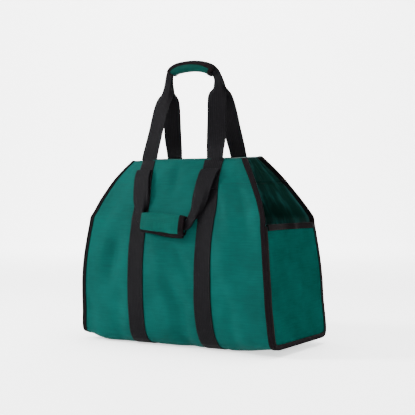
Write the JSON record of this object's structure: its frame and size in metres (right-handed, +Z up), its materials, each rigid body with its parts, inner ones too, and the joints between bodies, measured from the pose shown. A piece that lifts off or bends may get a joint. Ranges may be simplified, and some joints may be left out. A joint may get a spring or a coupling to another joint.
{
  "type": "firewood bag",
  "caption": "Soft open-topped log bag of coated green cloth with tapered shoulders, end gussets, edge tape, long webbing handles joined in a padded grip and short side handles.",
  "frame": {"origin": "on the floor under the middle of the base", "axes": "+Z up, +X to the right along the bag, and the front panel with the padded short handle faces -Y"},
  "size_m": [0.6004, 0.3233, 0.7613],
  "materials": {
    "body_cloth": "woven polyester with a waterproof coating on its inner face",
    "gusset_cloth": "the same woven polyester, in shade",
    "grip_cloth": "woven polyester over foam",
    "webbing": "ribbed polypropylene webbing",
    "edge_tape": "folded grosgrain tape"
  },
  "bodies": {
    "root": {"main_panel": "body_cloth", "gusset_right": "gusset_cloth", "gusset_left": "gusset_cloth", "seam_binding_right": "edge_tape", "seam_binding_left": "edge_tape", "gusset_binding_right": "edge_tape", "gusset_binding_left": "edge_tape", "webbing_front": "webbing", "webbing_back": "webbing", "long_grip": "grip_cloth", "short_webbing_front": "webbing", "short_grip": "grip_cloth", "short_webbing_back": "webbing"}
  },
  "joints": []
}
